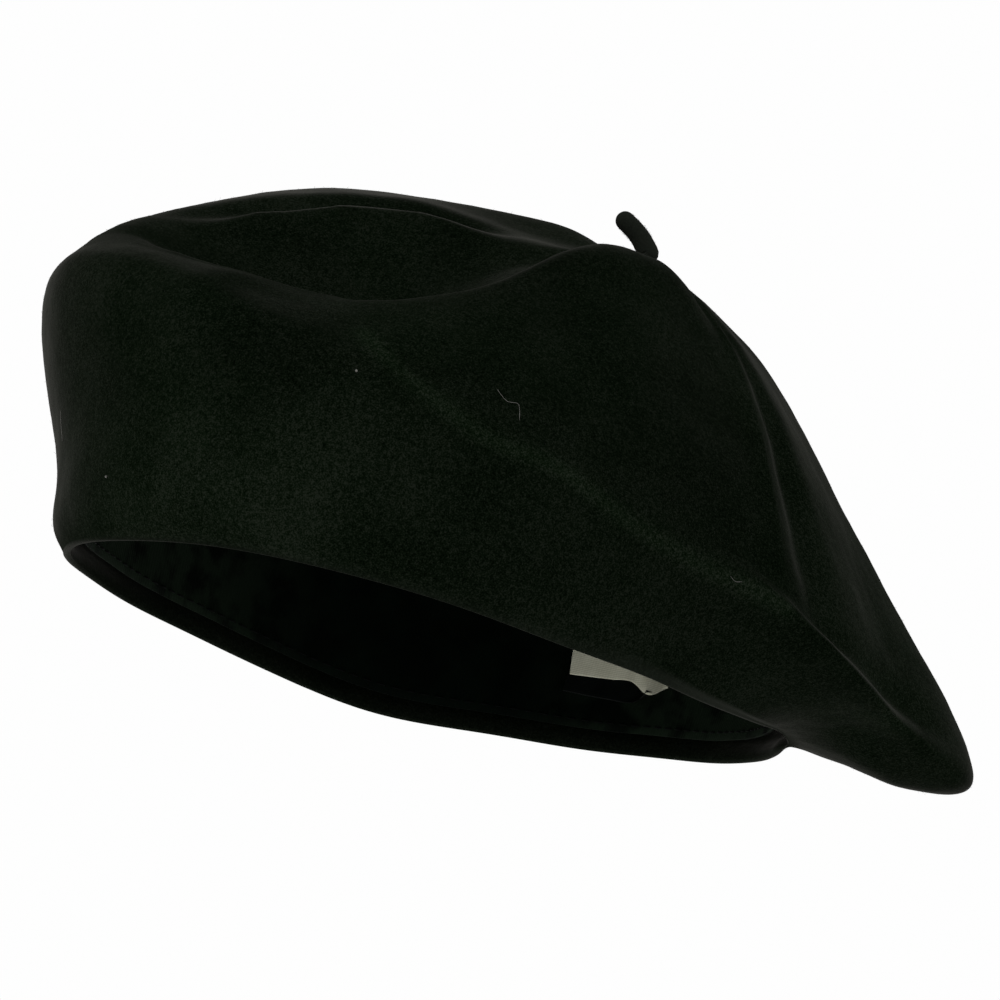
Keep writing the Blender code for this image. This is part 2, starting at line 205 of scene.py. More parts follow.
def felt_stations(bearing):
    """Radius and height of each station of the cut, from the rim's edge up to the eyelet."""
    drawn = CREASE_SHIFT * bump_at(bearing_from(bearing, CREASE - CREASE_SHIFT), 0.0, CREASE_PULL)
    er, ez, mr, mz, cr, cz, above, below = section_values(bearing + drawn)
    flop = np.exp(-(bearing_from(bearing, FLOP_FLOOR_BEARING) / FLOP_FLOOR_SPREAD) ** 2)
    turn = bearing_from(bearing, CREASE - CREASE_SHIFT)
    fold = np.exp(-np.sqrt((turn / np.where(turn < 0, *CREASE_WIDTH)) ** 2 + CREASE_BLUNT))
    furrow = bump_at(bearing_from(bearing, CREASE_VALLEY), 0.0, CREASE_VALLEY_WIDTH) * CREASE_IN
    side = 1 - flop
    rim_r, rim_z = opening_radius(bearing, FELT), rim_height(bearing)
    hem_r = rim_r + HEM_OUT[0] * side + HEM_OUT[1] * flop
    hem_z = rim_z + HEM_UP[0] * side + HEM_UP[1] * flop
    band_r, band_z = rim_r + BAND_OUT, rim_z + BAND_UP[0] * side + BAND_UP[1] * flop
    low_r = (band_r + er) / 2 + below * side
    front, back = FLOP_FLOOR
    off = bearing_from(bearing, 0.0)
    floor = front + (back - front) * smooth_step(off, *FLOP_FLOOR_RISE)
    low_z = (band_z + ez) / 2 * side + floor * flop
    low_r = low_r + FLOP_BELLY * flop * smooth_step(off, *FLOP_BELLY_RISE)
    begun = smooth_step(off, *STRAIGHT_FROM)
    near_rim, near_edge = (begun * (1 - smooth_step(off, *end)) for end in (STRAIGHT_RIM_TO,
                                                                            STRAIGHT_TO))
    hem_share, band_share, low_share = LOWER_SHARES
    low_r = low_r + (rim_r + low_share * (er - rim_r) - low_r) * near_edge
    low_z = low_z + (rim_z + low_share * (ez - rim_z) - low_z) * near_edge
    band_r = band_r + (rim_r + band_share * (low_r - rim_r) - band_r) * near_rim
    band_z = band_z + (rim_z + band_share * (low_z - rim_z) - band_z) * near_rim
    hem_r = hem_r + (rim_r + hem_share * (low_r - rim_r) - hem_r) * near_rim
    hem_z = hem_z + (rim_z + hem_share * (low_z - rim_z) - hem_z) * near_rim
    chord = np.hypot(mr - er, mz - ez)
    high_r = er + HIGH_SHARE * (mr - er) + above * (mz - ez) / chord + CREASE_OUT[0] * fold
    high_r = high_r - furrow * FURROW_SHARES[0]
    high_z = ez + HIGH_SHARE * (mz - ez) - above * (mr - er) / chord
    mr = mr + CREASE_OUT[1] * fold - furrow
    cr = cr + CREASE_OUT[2] * fold - furrow * FURROW_SHARES[1]
    top_r, top_z = cr * TOP_SHARE, cz + (CROWN_TOP - cz) * TOP_RISE
    eyelet = np.full_like(er, EYELET_RADIUS)
    peak = np.full_like(er, CROWN_TOP)
    return np.array([[rim_r, rim_z], [hem_r, hem_z], [band_r, band_z], [low_r, low_z],
                     [er, ez], [high_r, high_z], [mr, mz], [cr, cz], [top_r, top_z],
                     [eyelet, peak]])


def felt_points(bearing, place):
    """Points on the felt's outer face; place 0 is the rim and 9 the eyelet."""
    cuts = felt_stations(bearing)
    cuts = np.concatenate([2 * cuts[:1] - cuts[1:2], cuts, 2 * cuts[-1:] - cuts[-2:-1]])
    start = np.clip(np.floor(place).astype(int), 0, len(cuts) - 4)
    column = np.arange(len(bearing))
    four = [cuts[start + k, :, column].T for k in range(4)]
    r, z = smooth_between(*four, place - start)
    angle = np.radians(bearing + FLOP_BEARING)
    return np.stack([STEM_AXIS[0] + r * np.cos(angle), STEM_AXIS[1] + r * np.sin(angle), z], -1)


# ---- folds and wrinkles of the skin

SKIN_COLUMNS = 400
OUTER_ROWS = (6, 8, 12, 20, 22, 26, 26, 20, 16)  # rows of each span of the outer face
INNER_ROWS = (3, 4, 6, 9, 10, 12, 12, 8, 5)
EDGE_ROWS = 6

# each crest at the crown's hollow: its line seen from above, the shares of that line and the
# places where it rises and fades, its height and width, and the depth of the valley behind it
BACK_FOLD = ((-84, -27), (-70, -4), (-55, 6), (-37, 10), (-13, 11))
FRONT_FOLD = ((-79, -38), (-66, -57), (-51, -71), (-30, -79), (-8, -77), (10, -62), (27, -49))
HOLLOW_FOLDS = ((BACK_FOLD, (0.02, 0.3), (0.8, 1.0), (5.2, 6.0), 3.2, 4.5, -3.0),
                (FRONT_FOLD, (0.05, 0.35), (0.75, 1.0), (4.4, 5.6), 1.8, 2.6, -2.5))
VALLEY_BEHIND = 8.0
VALLEY_WIDTH = 4.5
CREST_BLUNT = 0.03

RIM_DIPS = ((-85.0, 30.0, -0.8), (-150.0, 24.0, -2.4), (112.0, 16.0, -1.4))  # bearing, spread, drop
RIM_WAVES = (0.25, 0.2)  # heights of the rim's long and short waves
RIM_WAVES_TO = 3.0  # place where they have faded out
EDGE_PLACE = 4.0  # the disc's edge along the cut
EDGE_CRESTS = ((-36.0, 26.0, 1.6, 0.16), (-95.0, 42.0, 0.5, 0.25))  # bearing, spread, out, width
EDGE_FURROWS = ((-34.0, 26.0, -2.0, 0.42), (-95.0, 42.0, -0.4, 0.50))
SIDE_FOLD = (-143.0, 3.2, 0.9)  # bearing, width and height of the soft upright fold
SIDE_FOLD_FROM = (3.0, 4.0)
SIDE_FOLD_TO = (5.4, 6.2)
SIDE_DENT = (174.0, 14.0, -1.4)  # bearing, spread and depth of the dent over the right ear
SIDE_DENT_AT = (2.1, 0.7)  # its place and spread up the side
COLLAR_RADIUS = 2.9  # crest of the felt's cone round the stem's foot
COLLAR_LIFT = 2.3
COLLAR_SPREAD = 3.4
COLLAR_REACH = 30.0
WRINKLES = ((34.0, 0.55), (13.0, 0.22), (5.0, 0.10))  # wavelength, depth
WRINKLES_FROM = (0.0, 0.6)  # places between which the wrinkles set in above the rim
WRINKLES_TO = (8.3, 8.9)  # and die out at the stem


def noise_at(points, wavelength, seed):
    """Smooth noise from about -1 to 1 at each point."""
    shift = Vector((seed * 7.3, seed * 3.1, -seed * 5.7))
    return np.array([noise.noise(Vector(p) / wavelength + shift) for p in points.tolist()])


def distance_to_line(points, line):
    """Distance in plan to a polyline, negative on its right, and the share of its length."""
    flat = points[:, :2]
    best = np.full(len(flat), 1e9)
    side = np.zeros(len(flat))
    share = np.zeros(len(flat))
    line = np.array(line, float)
    for k, (a, b) in enumerate(zip(line, line[1:])):
        along = b - a
        t = np.clip(((flat - a) @ along) / (along @ along), 0, 1)
        off = flat - a - t[:, None] * along
        far = np.hypot(off[:, 0], off[:, 1])
        nearer = far < best
        best = np.where(nearer, far, best)
        cross = along[0] * (flat - a)[:, 1] - along[1] * (flat - a)[:, 0]
        side = np.where(nearer, np.sign(cross), side)
        share = np.where(nearer, (k + t) / (len(line) - 1), share)
    return best * side, share


def hollow_folds(points, place):
    """Crests at the far and near side of the crown's hollow, each with a valley behind it."""
    relief = 0.0
    for line, rising, fading, places, height, width, valley in HOLLOW_FOLDS:
        off, share = distance_to_line(points, line)
        along = smooth_step(share, *rising) * (1 - smooth_step(share, *fading))
        crest = height * np.exp(-np.sqrt((off / width) ** 2 + CREST_BLUNT))
        behind = valley * bump_at(off, VALLEY_BEHIND, VALLEY_WIDTH)
        relief = relief + (crest + behind) * along * smooth_step(place, *places)
    return relief


def edge_line(bearing, place):
    """Pinched edge of the disc: sharp along the flop, softer along the front."""
    relief = 0.0
    for middle, spread, out, width in EDGE_CRESTS:
        along = np.exp(-(bearing_from(bearing, middle) / spread) ** 4)
        off = (place - EDGE_PLACE) / width
        relief = relief + out * along * np.exp(-np.sqrt(off ** 2 + CREST_BLUNT))
    for middle, spread, out, width in EDGE_FURROWS:
        along = np.exp(-(bearing_from(bearing, middle) / spread) ** 4)
        relief = relief + out * along * bump_at(place, EDGE_PLACE + 1.3 * width, width * 0.7)
    return relief


def side_fold(bearing, place):
    """Soft upright fold in front of the right ear."""
    middle, width, height = SIDE_FOLD
    up = smooth_step(place, *SIDE_FOLD_FROM) * (1 - smooth_step(place, *SIDE_FOLD_TO))
    fold = height * up * bump_at(bearing_from(bearing, middle), 0.0, width)
    middle, spread, depth = SIDE_DENT
    dent = depth * bump_at(bearing_from(bearing, middle), 0.0, spread)
    return fold + dent * bump_at(place, *SIDE_DENT_AT)


def rim_drop(bearing, place):
    """How far the rim sags below its drawn height, fading out up the side."""
    drop = sum(depth * bump_at(bearing_from(bearing, middle), 0.0, spread)
               for middle, spread, depth in RIM_DIPS)
    angle = np.radians(bearing)
    long, short = RIM_WAVES
    drop = drop + long * np.sin(5 * angle + 1.0) + short * np.sin(11 * angle) * np.cos(2 * angle)
    return drop * (1 - smooth_step(place, 0.0, RIM_WAVES_TO))


def collar_lift(points):
    """Height of the small cone that the felt makes round the stem's foot."""
    r = np.hypot(points[:, 0] - STEM_AXIS[0], points[:, 1] - STEM_AXIS[1])
    outside = COLLAR_LIFT * np.exp(-np.maximum(r - COLLAR_RADIUS, 0) / COLLAR_SPREAD)
    inside = smooth_step(r, EYELET_RADIUS, COLLAR_RADIUS)
    return outside * inside * (r < COLLAR_REACH)


def skin_points(bearing, place):
    """The felt's outer face with its folds, wrinkles, sagging rim and stem cone."""
    points = felt_points(bearing, place)
    normals = surface_normals(felt_points, bearing, place)
    wrinkle = sum(depth * noise_at(points, length, k + 1)
                  for k, (length, depth) in enumerate(WRINKLES))
    between = smooth_step(place, *WRINKLES_FROM) * (1 - smooth_step(place, *WRINKLES_TO))
    relief = (wrinkle * between + hollow_folds(points, place) + edge_line(bearing, place)
              + side_fold(bearing, place))
    points = points + normals * relief[:, None]
    points[:, 2] += rim_drop(bearing, place) + collar_lift(points)
    return points


def surface_normals(surface, bearing, place):
    """Outward directions of a face given as a function of bearing and place."""
    step_b, step_p = 0.6, 0.02
    low = np.clip(place - step_p, 0, LAST_PLACE)
    high = np.clip(place + step_p, 0, LAST_PLACE)
    along = surface(bearing + step_b, place) - surface(bearing - step_b, place)
    up = surface(bearing, high) - surface(bearing, low)
    normal = np.cross(along, up)
    return normal / np.linalg.norm(normal, axis=-1, keepdims=True)


# ---- mesh helpers


def mesh_object(name, points, faces, mat, smooth=True):
    """New object from points in millimetres."""
    mesh = bpy.data.meshes.new(name)
    mesh.from_pydata((np.asarray(points, float) * MM).tolist(), [], faces)
    mesh.materials.append(mat)
    if smooth:
        mesh.shade_smooth()
    mesh.update()
    obj = bpy.data.objects.new(name, mesh)
    bpy.context.scene.collection.objects.link(obj)
    return obj


def grid_faces(rows, columns, close_rows, close_columns):
    """Quads of a grid of points stored row by row."""
    faces = []
    for r in range(rows if close_rows else rows - 1):
        above = (r + 1) % rows
        for c in range(columns if close_columns else columns - 1):
            n = (c + 1) % columns
            faces.append((r * columns + c, r * columns + n, above * columns + n, above * columns + c))
    return faces


def store(obj, name, values):
    """Keeps one number for each point of a mesh, for its material to read."""
    attribute = obj.data.attributes.new(name, "FLOAT", "POINT")
    attribute.data.foreach_set("value", np.asarray(values, np.float32).ravel())


def tube_points(path, radii, sides):
    """Rings of points round a path, with a steady twist."""
    path = np.asarray(path, float)
    ahead = np.gradient(path, axis=0)
    ahead /= np.linalg.norm(ahead, axis=1, keepdims=True)
    side = np.cross(ahead[0], (0.31, 0.52, 0.79))
    rings = []
    turn = np.linspace(0, 2 * math.pi, sides, endpoint=False)
    for point, way, radius in zip(path, ahead, radii):
        side = side - way * (side @ way)
        side /= np.linalg.norm(side)
        up = np.cross(way, side)
        rings.append(point + radius * (np.outer(np.cos(turn), side) + np.outer(np.sin(turn), up)))
    return np.concatenate(rings)


def tube_faces(rings, sides, closed, first=0):
    """Faces of a tube made by tube_points, with end caps unless it closes on itself."""
    faces = [tuple(first + i for i in f) for f in grid_faces(rings, sides, closed, True)]
    if not closed:
        faces.append(tuple(first + k for k in reversed(range(sides))))
        faces.append(tuple(first + (rings - 1) * sides + k for k in range(sides)))
    return faces


def join_tubes(name, tubes, sides, mat):
    """One object from several closed tubes, each given as (path, radii)."""
    points, faces, first = [], [], 0
    for path, radii in tubes:
        points.append(tube_points(path, radii, sides))
        faces += tube_faces(len(path), sides, False, first)
        first += len(path) * sides
    return mesh_object(name, np.concatenate(points), faces, mat)


def rounded(count, radius, cap=3):
    """Radii along a tube whose ends close in round tips."""
    radii = np.full(count, float(radius))
    for k in range(cap):
        share = math.sin(math.pi / 2 * (k + 0.35) / (cap + 0.35))
        radii[k] *= share
        radii[-1 - k] *= share
    return radii


# ---- materials


class Nodes:
    """Short way to add and link shader nodes in one material."""

    def __init__(self, name):
        self.mat = bpy.data.materials.new(name)
        self.mat.use_nodes = True
        self.tree = self.mat.node_tree
        self.shader = self.tree.nodes["Principled BSDF"]
        self.place = self.add("ShaderNodeTexCoord").outputs["Object"]

    def add(self, kind, **settings):
        node = self.tree.nodes.new(kind)
        for key, value in settings.items():
            setattr(node, key, value)
        return node

    def link(self, output, socket):
        self.tree.links.new(output, socket)

    def give(self, socket, value):
        if isinstance(value, tuple):
            socket.default_value = (*value, 1.0)
        elif isinstance(value, float):
            socket.default_value = value
        else:
            self.link(value, socket)

    def feed(self, name, output):
        self.link(output, self.shader.inputs[name])

    def noise(self, wavelength, detail=3.0, roughness=0.55):
        node = self.add("ShaderNodeTexNoise")
        node.inputs["Scale"].default_value = 1.0 / (wavelength * MM)
        node.inputs["Detail"].default_value = detail
        node.inputs["Roughness"].default_value = roughness
        self.link(self.place, node.inputs["Vector"])
        return node.outputs["Fac"]

    def ramp(self, factor, stops):
        node = self.add("ShaderNodeValToRGB")
        marks = node.color_ramp.elements
        while len(marks) < len(stops):
            marks.new(0.5)
        for mark, (position, colour) in zip(marks, stops):
            mark.position = position
            mark.color = (*colour, 1.0) if len(colour) == 3 else colour
        self.link(factor, node.inputs["Fac"])
        return node.outputs["Color"]

    def greys(self, factor, low, high):
        return self.ramp(factor, ((0.0, (low,) * 3), (1.0, (high,) * 3)))

    def maths(self, operation, a, b):
        node = self.add("ShaderNodeMath", operation=operation)
        for socket, value in zip(node.inputs, (a, b)):
            self.give(socket, value)
        return node.outputs["Value"]

    def mix(self, factor, a, b):
        node = self.add("ShaderNodeMix", data_type="RGBA")
        for name, value in (("Factor", factor), ("A", a), ("B", b)):
            self.give([s for s in node.inputs if s.name == name and s.enabled][0], value)
        return [s for s in node.outputs if s.name == "Result" and s.enabled][0]

    def attribute(self, name):
        return self.add("ShaderNodeAttribute", attribute_name=name).outputs["Fac"]

    def bump(self, height, distance, strength=1.0, under=None):
        node = self.add("ShaderNodeBump")
        node.inputs["Strength"].default_value = strength
        node.inputs["Distance"].default_value = distance * MM
        self.link(height, node.inputs["Height"])
        if under is not None:
            self.link(under, node.inputs["Normal"])
        return node.outputs["Normal"]

    def set(self, **values):
        for key, value in values.items():
            self.shader.inputs[key.replace("_", " ")].default_value = value


def felt_material():
    """Milled black wool: mottled clumps, fine fibre grain, and light caught at grazing angles."""
    n = Nodes("milled_black_wool")
    clumps = n.noise(1.0, 2.0)
    grain = n.noise(0.36, 1.0)
    clouds = n.noise(26.0, 2.0)
    mottle = n.maths("ADD", n.maths("MULTIPLY", clumps, 0.35), n.maths("MULTIPLY", grain, 0.65))
    mottle = n.maths("ADD", mottle, n.maths("MULTIPLY", n.maths("SUBTRACT", clouds, 0.5), 0.25))
    colour = n.ramp(mottle, ((0.34, (0.0006, 0.0017, 0.0005)), (0.50, (0.0026, 0.0047, 0.0023)),
                             (0.66, (0.0086, 0.0112, 0.0076))))
    # the stored tone scales the colour: painted highlight along the front crest and patches of
    # painted light and shade
    tone = n.add("ShaderNodeVectorMath", operation="SCALE")
    n.link(colour, tone.inputs[0])
    n.link(n.maths("ADD", n.attribute("tone"), 1.0), tone.inputs["Scale"])
    # paler cut edge, with painted highlight along the rim's flared edge
    cut_edge_and_highlight_colour = n.mix(n.attribute("cut_edge_and_highlight"), tone.outputs[0], (0.017, 0.019, 0.0155))
    n.feed("Base Color", cut_edge_and_highlight_colour)
    n.feed("Roughness", n.greys(grain, 0.86, 1.0))
    n.set(Specular_IOR_Level=0.0, Sheen_Roughness=0.25)
    raised = n.maths("SUBTRACT", 1.0, n.attribute("pressed"))
    n.feed("Sheen Weight", n.maths("MULTIPLY", raised, 0.10))
    n.set(Sheen_Tint=(1.0, 0.95, 0.90, 1.0))
    coarse = n.bump(clumps, 0.12, 0.5)
    n.feed("Normal", n.bump(grain, 0.05, 0.5, coarse))
    return n.mat


def fibre_material():
    """Loose wool fibres, a little lighter than the felt that they stand on."""
    n = Nodes("loose_wool")
    colour = n.ramp(n.noise(2.5), ((0.3, (0.004, 0.005, 0.004)), (0.7, (0.016, 0.016, 0.014))))
    n.feed("Base Color", colour)
    n.feed("Roughness", n.greys(n.noise(0.5), 0.6, 0.9))
    n.set(Specular_IOR_Level=0.2)
    return n.mat


def lint_material():
    """Pale dust fibres."""
    n = Nodes("pale_lint")
    colour = n.ramp(n.noise(1.2), ((0.3, (0.05, 0.05, 0.045)), (0.7, (0.16, 0.155, 0.14))))
    n.feed("Base Color", colour)
    n.feed("Roughness", n.greys(n.noise(0.3), 0.5, 0.8))
    return n.mat


def ribbon_material():
    """Black ribbed cotton ribbon, dulled by wear in patches."""
    n = Nodes("black_ribbed_ribbon")
    wear = n.noise(9.0, 4.0)
    weave = n.noise(0.22, 1.0)
    colour = n.ramp(wear, ((0.38, (0.0004, 0.0014, 0.0007)), (0.64, (0.0013, 0.0034, 0.0018))))
    paler_at_ends = n.ramp(wear, ((0.40, (0.0010, 0.0022, 0.0011)), (0.54, (0.0064, 0.0112, 0.0064))))
    # paler towards both ends of the line across the opening
    colour = n.mix(n.attribute("paler_at_ends"), colour, paler_at_ends)
    colour = n.mix(n.maths("MULTIPLY", weave, 0.35), colour, (0.0006, 0.0012, 0.0008))
    n.feed("Base Color", colour)
    n.feed("Roughness", n.greys(wear, 0.62, 0.85))
    n.set(Specular_IOR_Level=0.02, Sheen_Weight=0.01, Sheen_Roughness=0.3)
    n.feed("Normal", n.bump(weave, 0.07, 0.7))
    return n.mat


def thread_material():
    """Black polyester thread with its ply twist."""
    n = Nodes("black_twisted_thread")
    ply = n.noise(0.35, 1.0)
    colour = n.ramp(ply, ((0.3, (0.0006, 0.0010, 0.0008)), (0.7, (0.0022, 0.0028, 0.0024))))
    n.feed("Base Color", colour)
    n.feed("Roughness", n.greys(ply, 0.5, 0.75))
    n.set(Specular_IOR_Level=0.03)
    n.feed("Normal", n.bump(ply, 0.06, 0.8))
    return n.mat


def satin_material(name, dark, light, roughness, gloss):
    """Woven satin tape: fine crosswise picks, faint lengthwise lines, a soft gloss."""
    n = Nodes(name)
    waves = []
    for axis, pitch in (("Z", 0.22), ("X", 0.34)):
        wave = n.add("ShaderNodeTexWave", bands_direction=axis)
        wave.inputs["Scale"].default_value = 1.0 / (pitch * MM) / 20.0 * math.pi
        wave.inputs["Distortion"].default_value = 1.2
        wave.inputs["Detail"].default_value = 2.0
        n.link(n.place, wave.inputs["Vector"])
        waves.append(wave.outputs["Fac"])
    picks, ends = waves
    soil = n.noise(5.0, 4.0)
    tone = n.maths("ADD", n.maths("MULTIPLY", picks, 0.3), n.maths("MULTIPLY", soil, 0.7))
    tone = n.maths("SUBTRACT", tone, n.maths("MULTIPLY", ends, 0.08))
    n.feed("Base Color", n.ramp(tone, ((0.25, dark), (0.7, light))))
    n.feed("Roughness", n.greys(soil, roughness - 0.08, roughness + 0.1))
    n.set(Specular_IOR_Level=gloss, Anisotropic=0.4)
    n.feed("Normal", n.bump(picks, 0.03, 0.6))
    return n.mat


def floor_material():
    """Matt pale board, seen through from underneath so that it never hides the object."""
    n = Nodes("pale_floor")
    colour = n.ramp(n.noise(180.0, 3.0), ((0.3, (0.80, 0.80, 0.795)), (0.7, (0.84, 0.84, 0.835))))
    n.feed("Base Color", colour)
    n.set(Roughness=0.9, Specular_IOR_Level=0.1)
    clear = n.add("ShaderNodeBsdfTransparent")
    under = n.add("ShaderNodeMixShader")
    n.link(n.add("ShaderNodeNewGeometry").outputs["Backfacing"], under.inputs["Fac"])
    n.link(n.shader.outputs["BSDF"], under.inputs[1])
    n.link(clear.outputs["BSDF"], under.inputs[2])
    n.link(under.outputs["Shader"], n.tree.nodes["Material Output"].inputs["Surface"])
    return n.mat


# ---- the felt body


def place_list(rows_per_span):
    """Places along the cut, from the rim to the eyelet."""
    places = [0.0]
    for span, rows in enumerate(rows_per_span):
        places += [span + (k + 1) / rows for k in range(rows)]
    return places


def make_felt_skin(mat):
    """Closed felt shell: outer face, rounded cut edge at the rim, and inner face."""
    bearing = np.arange(SKIN_COLUMNS) * 360.0 / SKIN_COLUMNS
    outer = [skin_points(bearing, np.full(SKIN_COLUMNS, p)) for p in place_list(OUTER_ROWS)]
    inner = []
    for p in place_list(INNER_ROWS):
        here = np.full(SKIN_COLUMNS, p)
        points = skin_points(bearing, here)
        inner.append(points - surface_normals(skin_points_plain, bearing, here) * FELT)
    inner[0][:, 2] = outer[0][:, 2]
    collar = outer[-1].copy()
    collar[:, 2] = CROWN_TOP - FELT * EYELET_FELT
    inner[-1] = collar
    middle, half = (outer[0] + inner[0]) / 2, (outer[0] - inner[0]) / 2
    reach = np.linalg.norm(half, axis=1)
    edge = []
    for k in range(1, EDGE_ROWS):
        angle = math.pi * k / EDGE_ROWS
        drop = np.stack([np.zeros(SKIN_COLUMNS), np.zeros(SKIN_COLUMNS), reach], -1)
        edge.append(middle - half * math.cos(angle) - drop * 0.8 * math.sin(angle))
    rows = inner[::-1] + edge + outer
    points = np.concatenate(rows)
    faces = grid_faces(len(rows), SKIN_COLUMNS, True, True)
    obj = mesh_object("felt_skin", points, faces, mat)
    mark_cut_edge_and_highlight(obj, len(inner), len(edge))
    outer_first = len(inner) + len(edge)
    mark_painted_light_and_nap(obj, np.stack(outer), outer_first)
    return obj


def skin_points_plain(bearing, place):
    """The felt's outer face without its fine wrinkles, for steady directions."""
    points = felt_points(bearing, place)
    points[:, 2] += rim_drop(bearing, place) + collar_lift(points)
    return points


# crest that runs slanting over the front, as bearing and place, along which a painted highlight makes
# the felt lighter
CREST_HIGHLIGHT_LINE = ((237.0, 4.75), (242.0, 4.25), (249.2, 3.89), (255.5, 3.73), (262.5, 3.89),
                (268.2, 3.82), (274.8, 3.65), (285.5, 3.73), (296.0, 3.93), (301.5, 4.0))
CREST_HIGHLIGHT_WIDTH = 2.3
CREST_HIGHLIGHT_TONE = 0.75
# bearing, place, spread and amount of each patch of painted light, paler, and of painted shade,
# darker, on the felt
LIGHT_AND_SHADE_PATCHES = ((232.0, 1.5, 34.0, 0.40), (215.0, 1.0, 22.0, 0.25), (229.0, 3.6, 17.0, -0.35),
                (250.0, 6.5, 26.0, -0.15), (285.0, 5.6, 24.0, -0.25), (10.0, 5.5, 34.0, 0.2),
                (334.0, 4.0, 13.0, 0.4))
# bearing, spread, place, spread of places and amount where the nap on top is pressed flat
PRESSED_TOP = ((218.0, 42.0, 5.8, 0.8, 0.85), (175.0, 13.0, 6.2, 0.6, 0.6),
               (20.0, 60.0, 5.6, 1.6, 0.8), (115.0, 24.0, 7.4, 0.8, 0.6),
               (270.0, 28.0, 7.1, 0.7, 0.6))
PRESSED_FOLD = (302.0, 9.0, 0.7)  # bearing, spread, amount
PRESSED_STEM = (32.0, 0.85)  # spread round the stem, amount
PRESSED_RIM = 0.8


def mark_painted_light_and_nap(obj, grid, first):
    """Stores the painted highlight along the crest, the patches of painted light and shade, and where
    the nap is pressed flat.
    """
    rows, columns = grid.shape[:2]
    bearing = np.arange(columns) * 360.0 / columns
    places = np.array(place_list(OUTER_ROWS))
    bearing, place = np.meshgrid(bearing, places)
    flat = grid.reshape(-1, 3)
    # painted highlight: a lighter line along the slanting crest
    crest = surface_line(CREST_HIGHLIGHT_LINE, 160)
    off = np.min(np.linalg.norm(flat[:, None, :] - crest[None, ::2], axis=2), axis=1)
    tone = CREST_HIGHLIGHT_TONE * np.exp(-(off / CREST_HIGHLIGHT_WIDTH) ** 2).reshape(rows, columns)
    # patches of painted light and painted shade
    for middle_b, middle_p, spread, amount in LIGHT_AND_SHADE_PATCHES:
        middle = skin_points(np.array([middle_b]), np.array([middle_p]))
        away = np.linalg.norm(flat - middle, axis=1).reshape(rows, columns)
        tone += amount * bump_at(away, 0.0, spread)
    pressed = np.zeros((rows, columns))
    for middle_b, spread, middle_p, high, amount in PRESSED_TOP:
        pressed += (amount * np.exp(-(bearing_from(bearing, middle_b) / spread) ** 4)
                    * bump_at(place, middle_p, high))
    middle_b, spread, amount = PRESSED_FOLD
    pressed += (amount * bump_at(bearing_from(bearing, middle_b), 0.0, spread)
                * smooth_step(place, 3.6, 4.4))
    spread, amount = PRESSED_STEM
    out = np.hypot(grid[..., 0] - STEM_AXIS[0], grid[..., 1] - STEM_AXIS[1])
    pressed += amount * bump_at(out, 0.0, spread)
    pressed += PRESSED_RIM * (1 - smooth_step(place, 0.0, 1.2)) * (1 - rim_edge_paleness(bearing))
    # tone holds painted light and shade; pressed lowers the sheen
    for name, values in (("tone", tone), ("pressed", np.clip(pressed, 0, 0.95))):
        stored = np.zeros(len(obj.data.vertices))
        stored[first * columns:(first + rows) * columns] = values.ravel()
        store(obj, name, stored)


FLARED_EDGE_HIGHLIGHT = (0.35, 0.75, 0.75, 0.3)  # painted highlight on the rows that the flared edge turns out
CUT_EDGE = 0.75  # paleness of the cut edge itself, and of the rows beside it: paler cut felt with painted highlight on its rounding
BESIDE_OUT = (0.5, 0.22)
BESIDE_IN = (0.5, 0.2)


def rim_edge_paleness(bearing):
    """How strongly the rim's edge is painted paler, as paler cut felt and painted highlight: most
    along the front below the flop.
    """
    return bump_at(bearing_from(bearing, -46.0), 0.0, 25.0)


def mark_cut_edge_and_highlight(obj, inner_rows, edge_rows):
    """Stores how strongly each point shows the paler cut edge of the felt and the painted highlight
    along the rim's flared edge.
    """
    strength = np.zeros((inner_rows + edge_rows + sum(OUTER_ROWS) + 1, SKIN_COLUMNS))
    strength[inner_rows:inner_rows + edge_rows] = CUT_EDGE
    for row, (outward, inward) in enumerate(zip(BESIDE_OUT, BESIDE_IN)):
        strength[inner_rows + edge_rows + row] = outward
        strength[inner_rows - 1 - row] = inward
    edge_share = rim_edge_paleness(np.arange(SKIN_COLUMNS) * 360.0 / SKIN_COLUMNS)
    strength *= 0.2 + 0.8 * edge_share
    # painted highlight on the outer rows that the flared edge turns out
    for row, amount in enumerate(FLARED_EDGE_HIGHLIGHT):
        strength[inner_rows + edge_rows + row] += amount * edge_share
    store(obj, "cut_edge_and_highlight", strength)


# ---- loose fibres

FUZZ_COUNT = 9000
FUZZ_LENGTH = (0.45, 1.5)
FUZZ_RADIUS = (0.018, 0.034)
FIBRE_RINGS = (0.0, 0.35, 0.7)  # shares of a fibre's length


def scattered_roots(rng, count, place_low, place_high):
    """Random points spread evenly over the felt's outer face, with their directions."""
    trial = count * 6
    bearing = rng.uniform(0, 360, trial)
    place = rng.uniform(place_low, place_high, trial)
    step_b, step_p = 0.5, 0.01
    here = felt_points(bearing, place)
    area = np.linalg.norm(np.cross(felt_points(bearing + step_b, place) - here,
                                   felt_points(bearing, place + step_p) - here), axis=1)
    kept = np.flatnonzero(rng.uniform(0, 1, trial) < area / np.quantile(area, 0.98))[:count]
    bearing, place = bearing[kept], place[kept]
    return skin_points(bearing, place), surface_normals(skin_points_plain, bearing, place)


